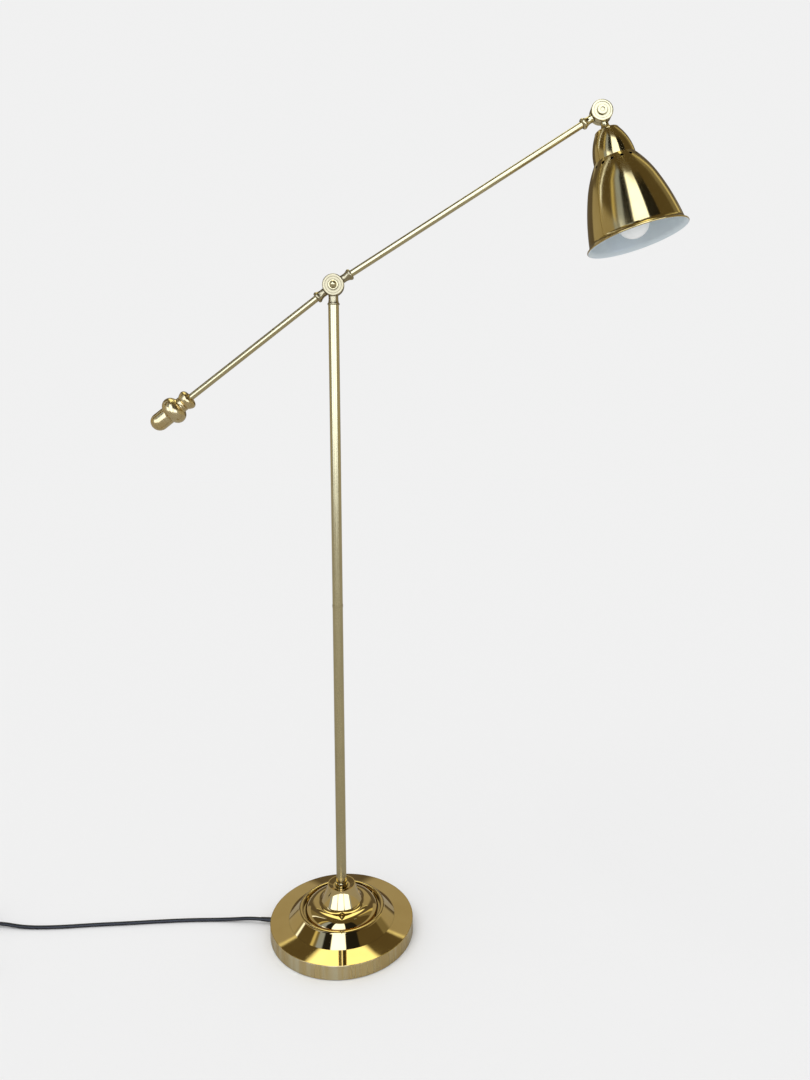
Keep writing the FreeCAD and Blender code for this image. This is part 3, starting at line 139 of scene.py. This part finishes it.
def cord_curve(name, points):
    """A round line on the corners. Its depth is 1, so each point's radius is the cord's own."""
    data = bpy.data.curves.new(name, "CURVE")
    data.dimensions = "3D"
    data.resolution_u = LINE_STEPS
    data.bevel_depth = 1.0
    data.bevel_resolution = ROUND_STEPS
    data.use_fill_caps = True
    spline = data.splines.new("NURBS")
    spline.points.add(len(points) - 1)
    for point, place in zip(spline.points, points):
        point.co = (*place, 1)
        point.radius = CORD_DIAMETER / 2
    spline.order_u = LINE_ORDER
    spline.use_endpoint_u = True
    curve = bpy.data.objects.new(name, data)
    bpy.context.scene.collection.objects.link(curve)
    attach(curve, "stand")
    return curve


def make_cords(material):
    run = cord_curve("cord_run_line", RUN)
    spare = cord_curve("cord_spare_line", LINK + coil_points() + TAIL)
    for curve in (run, spare):
        curve.data.materials.append(material)
    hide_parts("cord_run")
    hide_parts("cord_link", "cord_coil", "cord_tail")


# Materials: node helpers

# most of a noise lies between these
NOISE_LOW = 0.3
NOISE_HIGH = 0.7
NOISE_DETAIL = 4
QUARTER_TURN = 0.25
# where a Mix node keeps its factor, its two colours and their blend
MIX_INPUTS = (0, 6, 7)
MIX_OUTPUT = 2


def start_material(name):
    material = bpy.data.materials.new(name)
    material.use_nodes = True
    return material, material.node_tree, material.node_tree.nodes["Principled BSDF"]


def calculate(tree, operation, *terms):
    """A maths node, whose terms are numbers or the outputs of other nodes."""
    node = tree.nodes.new("ShaderNodeMath")
    node.operation = operation
    for socket, term in zip(node.inputs, terms):
        if isinstance(term, bpy.types.NodeSocket):
            tree.links.new(term, socket)
        else:
            socket.default_value = term
    return node.outputs["Value"]


def spread(tree, value, low, high, start=NOISE_LOW, end=NOISE_HIGH):
    """Stretches a value from its own start and end to low and high."""
    node = tree.nodes.new("ShaderNodeMapRange")
    node.inputs["From Min"].default_value = start
    node.inputs["From Max"].default_value = end
    node.inputs["To Min"].default_value = low
    node.inputs["To Max"].default_value = high
    tree.links.new(value, node.inputs["Value"])
    return node.outputs["Result"]


def mix_colours(tree, factor, first, second):
    """A blend of two colours, each a triple or the output of another node."""
    node = tree.nodes.new("ShaderNodeMix")
    node.data_type = "RGBA"
    for index, term in zip(MIX_INPUTS, (factor, first, second)):
        if isinstance(term, bpy.types.NodeSocket):
            tree.links.new(term, node.inputs[index])
        elif isinstance(term, tuple):
            node.inputs[index].default_value = (*term, 1)
        else:
            node.inputs[index].default_value = term
    return node.outputs[MIX_OUTPUT]


def noise(tree, size, stretch=(1, 1, 1), pitch=0.0):
    """Noise with specks of that size, in metres, stretched along axes pitched about Y."""
    place = tree.nodes.new("ShaderNodeTexCoord")
    mapping = tree.nodes.new("ShaderNodeMapping")
    mapping.vector_type = "TEXTURE"
    mapping.inputs["Rotation"].default_value = (0, pitch, 0)
    mapping.inputs["Scale"].default_value = stretch
    grain = tree.nodes.new("ShaderNodeTexNoise")
    grain.inputs["Scale"].default_value = 1 / size
    grain.inputs["Detail"].default_value = NOISE_DETAIL
    tree.links.new(place.outputs["Object"], mapping.inputs["Vector"])
    tree.links.new(mapping.outputs["Vector"], grain.inputs["Vector"])
    return grain.outputs["Fac"]


def raise_surface(tree, shader, height, strength, distance):
    bump = tree.nodes.new("ShaderNodeBump")
    bump.inputs["Strength"].default_value = strength
    bump.inputs["Distance"].default_value = distance
    tree.links.new(height, bump.inputs["Height"])
    tree.links.new(bump.outputs["Normal"], shader.inputs["Normal"])


def spun(tree, shader, anisotropy):
    """Spinning marks run round the piece's own Z axis, so highlights stretch along its height."""
    tangent = tree.nodes.new("ShaderNodeTangent")
    tangent.direction_type = "RADIAL"
    tangent.axis = "Z"
    shader.inputs["Anisotropic"].default_value = anisotropy
    shader.inputs["Anisotropic Rotation"].default_value = QUARTER_TURN
    tree.links.new(tangent.outputs["Tangent"], shader.inputs["Tangent"])


# Materials: colours, roughness and sizes

BRASS = (0.72, 0.54, 0.24)
BRASS_WORN = (0.66, 0.48, 0.20)
SHADE_BRASS = (0.64, 0.49, 0.21)
SHADE_WORN = (0.58, 0.43, 0.17)
SATIN = (0.66, 0.55, 0.29)
SATIN_WORN = (0.59, 0.49, 0.26)
# paler brass in streaks down the band: painted highlight streaks, where the real brushing also makes the band
# smoother
BAND_HIGHLIGHT_STREAK = (0.86, 0.76, 0.50)
PIVOT_BRASS = (0.44, 0.36, 0.20)
PIVOT_WORN = (0.36, 0.29, 0.15)
WEIGHT_BRASS = (0.70, 0.56, 0.30)
# near-black that ambient occlusion paints into crevices: painted shade
CREVICE_SHADE = (0.07, 0.05, 0.025)
# the other finishes: a colour, and the worn tone that it drifts to
# near-black inside the shade's cap: painted shade, where the cap's deep inside gets little light
CAP_PAINTED_SHADE = ((0.05, 0.045, 0.04), (0.03, 0.028, 0.025))
IRON = ((0.08, 0.08, 0.08), (0.05, 0.05, 0.05))
ZINC = ((0.60, 0.61, 0.63), (0.54, 0.55, 0.56))
PIN_METAL = ((0.80, 0.80, 0.78), (0.72, 0.72, 0.70))
ENAMEL = ((0.64, 0.71, 0.74), (0.60, 0.67, 0.71))
PAD_RUBBER = ((0.02, 0.02, 0.02), (0.03, 0.03, 0.03))
CORD_BLACK = ((0.010, 0.010, 0.011), (0.016, 0.016, 0.017))
BLACK_PLASTIC = ((0.013, 0.013, 0.013), (0.02, 0.02, 0.02))
NYLON = ((0.80, 0.80, 0.76), (0.74, 0.73, 0.68))
HOLDER_PLASTIC = ((0.85, 0.85, 0.83), (0.80, 0.80, 0.77))
OPAL_GLASS = ((0.90, 0.91, 0.90), (0.87, 0.88, 0.87))
# roughness, where a finish's noise is low and where it is high
POLISH_ROUGHNESS = (0.01, 0.05)
SHADE_ROUGHNESS = (0.10, 0.13)
POLE_ROUGHNESS = (0.13, 0.19)
SATIN_ROUGHNESS = (0.15, 0.20)
TUBE_ROUGHNESS = (0.15, 0.22)
WEIGHT_ROUGHNESS = (0.20, 0.26)
PIVOT_ROUGHNESS = (0.24, 0.30)
BAND_ROUGHNESS = (0.30, 0.22)
ENAMEL_ROUGHNESS = (0.30, 0.42)
# how far a colour takes to drift, in metres
DRIFT = 0.03
WIDE_DRIFT = 0.05
ENAMEL_DRIFT = 0.02
PLASTIC_DRIFT = 0.01
# the size of each finish's marks in metres, and how far they are stretched along each axis
FINE_GRAIN = 0.002
SMUDGE = 0.02
WAVE = 0.012
RING = 0.0006
RING_STRETCH = (60, 60, 1)
DRAWN_LINE = 0.0008
POLE_STRETCH = (1, 1, 100)
TUBE_STRETCH = (1, 1, 80)
STREAK = 0.014
STREAK_STRETCH = (1, 1, 20)
# where the painted highlight streaks fade in and out on their noise
HIGHLIGHT_STREAK_EDGES = (0.45, 0.72)
# how far the surface rises with its noise: a strength, and a depth in metres
ENAMEL_BUMP = 0.03
WAVE_BUMP = 0.01
WAVE_DEPTH = 0.0003
GRAIN_DEPTH = 0.0001
SATIN_ANISOTROPY = 0.8
SHADE_ANISOTROPY = 0.85
# how far round a crevice is felt for the shade painted into it, in metres, and how shut it is at its darkest and
# at its lightest
CREVICE = 0.0025
CREVICE_SAMPLES = 6
CREVICE_EDGES = (0.45, 0.95)
# the arm's angles as it rests, in degrees from level
FRONT_RISE = 32.33
REAR_FALL = 37.59
FRONT_PITCH = math.radians(90 - FRONT_RISE)
REAR_PITCH = math.radians(-90 - REAR_FALL)


# Materials: finishes


def tinted(tree, shader, colour, worn, size):
    """The colour drifts a little towards its worn tone."""
    drift = spread(tree, noise(tree, size), 0, 1)
    tree.links.new(mix_colours(tree, drift, colour, worn), shader.inputs["Base Color"])


def crevice_shaded(tree, shader, colour, worn, size):
    """As tinted, and darker in the crevices by ambient occlusion: painted shade in the crevices."""
    drift = spread(tree, noise(tree, size), 0, 1)
    corner = tree.nodes.new("ShaderNodeAmbientOcclusion")
    corner.samples = CREVICE_SAMPLES
    corner.inputs["Distance"].default_value = CREVICE
    unshaded = spread(tree, corner.outputs["AO"], 0, 1, *CREVICE_EDGES)
    toned = mix_colours(tree, unshaded, CREVICE_SHADE, mix_colours(tree, drift, colour, worn))
    tree.links.new(toned, shader.inputs["Base Color"])


def metal(name, colour, worn, rough, size=0.004, bump=0.02, stretch=(1, 1, 1), pitch=0.0):
    material, tree, shader = start_material(name)
    shader.inputs["Metallic"].default_value = 1
    tinted(tree, shader, colour, worn, DRIFT)
    grain = noise(tree, size, stretch, pitch)
    tree.links.new(spread(tree, grain, *rough), shader.inputs["Roughness"])
    raise_surface(tree, shader, grain, bump, GRAIN_DEPTH)
    return material


def satin_brass(name, colour, worn, rough):
    material, tree, shader = start_material(name)
    shader.inputs["Metallic"].default_value = 1
    # painted shade in the crevices, by ambient occlusion
    crevice_shaded(tree, shader, colour, worn, DRIFT)
    tree.links.new(spread(tree, noise(tree, FINE_GRAIN), *rough), shader.inputs["Roughness"])
    return material


def tube_brass(name, pitch):
    """Thin satin tube, drawn along its length, which is pitched about Y."""
    return metal(
        name, SATIN, SATIN_WORN, TUBE_ROUGHNESS, DRAWN_LINE, stretch=TUBE_STRETCH, pitch=pitch)


def polished_brass():
    """Mirror polish, with a smudge here and there."""
    material, tree, shader = start_material("polished_brass")
    shader.inputs["Metallic"].default_value = 1
    # painted shade in the crevices, by ambient occlusion
    crevice_shaded(tree, shader, BRASS, BRASS_WORN, WIDE_DRIFT)
    smudges = noise(tree, SMUDGE)
    tree.links.new(spread(tree, smudges, *POLISH_ROUGHNESS), shader.inputs["Roughness"])
    raise_surface(tree, shader, noise(tree, WAVE), WAVE_BUMP, WAVE_DEPTH)
    return material


def band_brass():
    """The satin band round the base, brushed round it, with paler streaks down it that are painted highlights."""
    material, tree, shader = start_material("band_brass")
    shader.inputs["Metallic"].default_value = 1
    brushing_and_highlight_streaks = noise(tree, STREAK, STREAK_STRETCH)
    # the paler streaks in the colour are painted highlights; the roughness streaks are the real brushing
    toned = mix_colours(tree, spread(tree, brushing_and_highlight_streaks, 0, 1, *HIGHLIGHT_STREAK_EDGES), BRASS, BAND_HIGHLIGHT_STREAK)
    tree.links.new(toned, shader.inputs["Base Color"])
    tree.links.new(spread(tree, brushing_and_highlight_streaks, *BAND_ROUGHNESS), shader.inputs["Roughness"])
    spun(tree, shader, SATIN_ANISOTROPY)
    return material


def pole_brass():
    """Satin tube, drawn along its length."""
    material, tree, shader = start_material("pole_brass")
    shader.inputs["Metallic"].default_value = 1
    tinted(tree, shader, SATIN, SATIN_WORN, WIDE_DRIFT)
    lines = noise(tree, DRAWN_LINE, POLE_STRETCH)
    tree.links.new(spread(tree, lines, *POLE_ROUGHNESS), shader.inputs["Roughness"])
    spun(tree, shader, SATIN_ANISOTROPY)
    return material


def shade_brass():
    """Spun and brushed: fine rings round the shade, and highlights that run down it."""
    material, tree, shader = start_material("shade_brass")
    shader.inputs["Metallic"].default_value = 1
    tinted(tree, shader, SHADE_BRASS, SHADE_WORN, DRIFT)
    rings = noise(tree, RING, RING_STRETCH)
    tree.links.new(spread(tree, rings, *SHADE_ROUGHNESS), shader.inputs["Roughness"])
    spun(tree, shader, SHADE_ANISOTROPY)
    return material


def enamel():
    material, tree, shader = start_material("white_enamel")
    tinted(tree, shader, *ENAMEL, ENAMEL_DRIFT)
    grain = noise(tree, FINE_GRAIN)
    tree.links.new(spread(tree, grain, *ENAMEL_ROUGHNESS), shader.inputs["Roughness"])
    raise_surface(tree, shader, grain, ENAMEL_BUMP, GRAIN_DEPTH)
    return material


def plastic(name, colour, worn, rough, size=0.001, bump=0.05):
    material, tree, shader = start_material(name)
    tinted(tree, shader, colour, worn, PLASTIC_DRIFT)
    grain = noise(tree, size)
    tree.links.new(spread(tree, grain, *rough), shader.inputs["Roughness"])
    raise_surface(tree, shader, grain, bump, GRAIN_DEPTH)
    return material


def make_materials():
    """The material of each of the record's slots."""
    return {
        "polished_brass": polished_brass(),
        "satin_brass": satin_brass("satin_brass", SATIN, SATIN_WORN, SATIN_ROUGHNESS),
        "shade_metal": shade_brass(),
        "cast_weight": metal("cast_weight", *IRON, rough=(0.55, 0.75), size=0.003, bump=0.3),
        "zinc_steel": metal("zinc_steel", *ZINC, rough=(0.25, 0.40)),
        "pad_rubber": plastic("pad_rubber", *PAD_RUBBER, rough=(0.7, 0.9)),
        "cord_black": plastic("cord_black", *CORD_BLACK, rough=(0.38, 0.50)),
        "black_plastic": plastic("black_plastic", *BLACK_PLASTIC, rough=(0.40, 0.55)),
        "nylon": plastic("nylon", *NYLON, rough=(0.40, 0.50)),
        "holder_plastic": plastic("holder_plastic", *HOLDER_PLASTIC, rough=(0.35, 0.50)),
        "pin_metal": metal("pin_metal", *PIN_METAL, rough=(0.12, 0.20)),
        "opal_glass": plastic("opal_glass", *OPAL_GLASS, rough=(0.18, 0.26), size=0.004, bump=0.0),
    }


def make_node_materials():
    """The materials of nodes whose finish isn't their slot's own."""
    pole = pole_brass()
    pivot = satin_brass("pivot_brass", PIVOT_BRASS, PIVOT_WORN, PIVOT_ROUGHNESS)
    weight = satin_brass("weight_brass", WEIGHT_BRASS, BRASS_WORN, WEIGHT_ROUGHNESS)
    return {
        "pole_swivel": pivot,
        "arm_swivel": pivot,
        "counterweight_body": weight,
        "counterweight_ring": weight,
        "counterweight_collar": weight,
        "pole_lower_tube": pole,
        "pole_upper_tube": pole,
        "arm_front_tube": tube_brass("front_tube_brass", FRONT_PITCH),
        "arm_rear_tube": tube_brass("rear_tube_brass", REAR_PITCH),
    }


# Shells with more than one finish: the construction's own, copied, their faces sorted

# the way the shade opens, which is its shell's Z axis
SHADE_WAY = Vector((0.25575, -0.15831, -0.95369))
# heights on each shell's Z axis at which its finish changes
# nearer the cap than this, the shade's inside gets near-black painted shade instead of enamel
ENAMEL_TOP = 0.100
BAND_TOP = 0.0228
# how far a face looks away from the axis if it is outside or on the band, or along it if inside
OUTSIDE_LEAST = -0.02
BAND_LEAST = 0.7
INSIDE_LEAST = 0.9


def sorted_shell(node, body, place, finishes, pick):
    """A copy of a node about its own axis, which place gives. Each face picks its finish."""
    mesh = frame["nodes"][node].data.copy()
    mesh.name = node + "_shell"
    mesh.transform(place.inverted())
    mesh.materials.clear()
    for finish in finishes:
        mesh.materials.append(finish)
    for face in mesh.polygons:
        face.material_index = pick(face)
    shell = bpy.data.objects.new(mesh.name, mesh)
    shell.matrix_world = place
    bpy.context.scene.collection.objects.link(shell)
    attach(shell, body)
    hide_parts(node)


def outwardness(face):
    """Positive on a face that looks away from the shell's own Z axis."""
    across = Vector((face.center.x, face.center.y, 0)).normalized()
    return face.normal.dot(across)


def shade_finish(face):
    """Brass outside, enamel inside, and inside the cap a near-black finish that is painted shade."""
    if outwardness(face) > OUTSIDE_LEAST and face.normal.z < INSIDE_LEAST:
        return 0
    return 1 if face.center.z > ENAMEL_TOP else 2


def cover_finish(face):
    """Polished brass, with a satin band round the foot."""
    return 1 if outwardness(face) > BAND_LEAST and face.center.z < BAND_TOP else 0


def make_shells(materials):
    joints = {joint["name"]: joint for joint in frame["joints"]}
    across = Vector((0, 1, 0)).cross(SHADE_WAY).normalized()
    turn = Matrix((across, SHADE_WAY.cross(across), SHADE_WAY)).transposed()
    place = Matrix.Translation(joints["head_tilt"]["pos_m"]) @ turn.to_4x4()
    # the cap's inside: near-black painted shade
    cap_shade_finish = metal("shade_cap_painted_shade", *CAP_PAINTED_SHADE, rough=(0.5, 0.6))
    finishes = [materials["shade_metal"], enamel(), cap_shade_finish]
    sorted_shell("shade", "head", place, finishes, shade_finish)
    finishes = [materials["polished_brass"], band_brass()]
    place = Matrix.Identity(4)
    sorted_shell("base_cover", "stand", place, finishes, cover_finish)


# Studio: an even pale floor and backdrop, plain soft light, and the room that the metal mirrors

FLOOR_REACH = 6.0
FLOOR_COLOUR = 0.86
FLOOR_MIRRORED = 0.42
SKY_LIGHT = 0.80
SUN_LIGHT = 0.75
SUN_PLACE = Vector((-0.35, -0.25, 1.0)).normalized()
SUN_SPREAD = math.radians(40)

BLACK = (0.02, 0.02, 0.02)
DARK = (0.14, 0.12, 0.09)
BROWN = (0.13, 0.105, 0.055)
GOLD = (0.26, 0.235, 0.15)
TAN = (0.46, 0.43, 0.33)
AMBER = (0.85, 0.78, 0.42)
YELLOW = (2.0, 2.0, 1.3)
SILVER = (0.42, 0.53, 0.85)
WHITE = (2.4, 2.8, 3.8)
# what the metal mirrors at each bearing, in degrees from the viewer's side towards the lamp's head
HIGH_ROOM = [
    (-180, DARK), (-131, GOLD), (-109, WHITE), (-106, BROWN), (-76, AMBER), (-70, GOLD),
    (-64, SILVER), (-50, BLACK), (-29, WHITE), (11, BLACK), (47, BROWN), (101, GOLD),
    (119, AMBER), (128, DARK),
]
LOW_ROOM = [
    (-180, DARK), (-140, TAN), (-75, SILVER), (-60, WHITE), (-26, BLACK), (-22, WHITE),
    (13, BLACK), (17, WHITE), (50, SILVER), (58, TAN), (140, DARK),
]
# and behind the lamp, at each elevation in degrees
BACK_WALL = [(-90, DARK), (22, TAN), (40.8, YELLOW), (41.2, BROWN), (46.6, YELLOW)]
# degrees over which one colour turns into the next, or one part of the room into another
BEARING_EDGE = 3.0
ELEVATION_EDGE = 0.3
LOW_TOP = (20.0, 24.0)
HIGH_TOP = (60.0, 66.0)
BACK_START = (150.0, 160.0)
BEARINGS = 360
ELEVATIONS = 180


def room_ramp(tree, degrees, room, whole, edge):
    """A colour for each angle, given the angle at which each starts, out of a whole range."""
    ramp = tree.nodes.new("ShaderNodeValToRGB")
    stops = ramp.color_ramp.elements
    stops.remove(stops[1])
    stops[0].position = 0
    stops[0].color = (*room[0][1], 1)
    last = room[0][1]
    for angle, colour in room[1:]:
        for shift, shown in ((-edge / 2, last), (edge / 2, colour)):
            stops.new((angle + shift) / whole + 0.5).color = (*shown, 1)
        last = colour
    tree.links.new(calculate(tree, "MULTIPLY_ADD", degrees, 1 / whole, 0.5), ramp.inputs["Fac"])
    return ramp.outputs["Color"]


def mirrored_room(tree):
    """The room round the lamp as its polished metal shows it."""
    place = tree.nodes.new("ShaderNodeTexCoord")
    axes = tree.nodes.new("ShaderNodeSeparateXYZ")
    tree.links.new(place.outputs["Generated"], axes.inputs["Vector"])
    towards_viewer = calculate(tree, "MULTIPLY", axes.outputs["Y"], -1.0)
    around = calculate(tree, "ARCTAN2", axes.outputs["X"], towards_viewer)
    bearing = calculate(tree, "DEGREES", around)
    elevation = calculate(tree, "DEGREES", calculate(tree, "ARCSINE", axes.outputs["Z"]))
    low = room_ramp(tree, bearing, LOW_ROOM, BEARINGS, BEARING_EDGE)
    high = room_ramp(tree, bearing, HIGH_ROOM, BEARINGS, BEARING_EDGE)
    room = mix_colours(tree, spread(tree, elevation, 0, 1, *LOW_TOP), low, high)
    back = room_ramp(tree, elevation, BACK_WALL, ELEVATIONS, ELEVATION_EDGE)
    behind = spread(tree, calculate(tree, "ABSOLUTE", bearing), 0, 1, *BACK_START)
    overhead = spread(tree, elevation, 0, 1, *HIGH_TOP)
    return mix_colours(tree, behind, mix_colours(tree, overhead, room, BROWN), back)


def make_world():
    """Even light, a backdrop as bright as the lit floor, and the room for what mirrors it."""
    world = bpy.data.worlds.new("studio")
    bpy.context.scene.world = world
    world.cycles.sampling_method = "NONE"
    world.use_nodes = True
    tree = world.node_tree
    rays = tree.nodes.new("ShaderNodeLightPath")
    backdrop = FLOOR_COLOUR * (SKY_LIGHT + SUN_LIGHT * SUN_PLACE.z / math.pi)
    plain = mix_colours(tree, rays.outputs["Is Camera Ray"], (SKY_LIGHT,) * 3, (backdrop,) * 3)
    shown = mix_colours(tree, rays.outputs["Is Glossy Ray"], plain, mirrored_room(tree))
    tree.links.new(shown, tree.nodes["Background"].inputs["Color"])


def make_floor():
    signs = ((-1, -1), (1, -1), (1, 1), (-1, 1))
    corners = [(x * FLOOR_REACH, y * FLOOR_REACH, 0) for x, y in signs]
    mesh = bpy.data.meshes.new("floor")
    mesh.from_pydata(corners, [], [(0, 1, 2, 3)])
    floor = bpy.data.objects.new("floor", mesh)
    bpy.context.scene.collection.objects.link(floor)
    material, tree, shader = start_material("floor_paint")
    shader.inputs["Specular IOR Level"].default_value = 0
    rays = tree.nodes.new("ShaderNodeLightPath")
    seen, mirrored = (FLOOR_COLOUR,) * 3, (FLOOR_MIRRORED,) * 3
    shown = mix_colours(tree, rays.outputs["Is Glossy Ray"], seen, mirrored)
    tree.links.new(shown, shader.inputs["Base Color"])
    mesh.materials.append(material)


def make_sun():
    data = bpy.data.lights.new("soft_sun", "SUN")
    data.energy = SUN_LIGHT
    data.angle = SUN_SPREAD
    sun = bpy.data.objects.new("soft_sun", data)
    sun.matrix_world = SUN_PLACE.to_track_quat("Z", "Y").to_matrix().to_4x4()
    sun.visible_glossy = False
    bpy.context.scene.collection.objects.link(sun)


materials = make_materials()
node_materials = make_node_materials()
slots = {part["node"]: part["material_slot"] for part in frame["record"]["subparts"]}
for name, node in frame["nodes"].items():
    node.data.materials.clear()
    node.data.materials.append(node_materials.get(name, materials[slots[name]]))
make_camera()
make_cords(materials["cord_black"])
make_shells(materials)
make_world()
make_floor()
make_sun()
bpy.context.scene.view_settings.view_transform = "Standard"
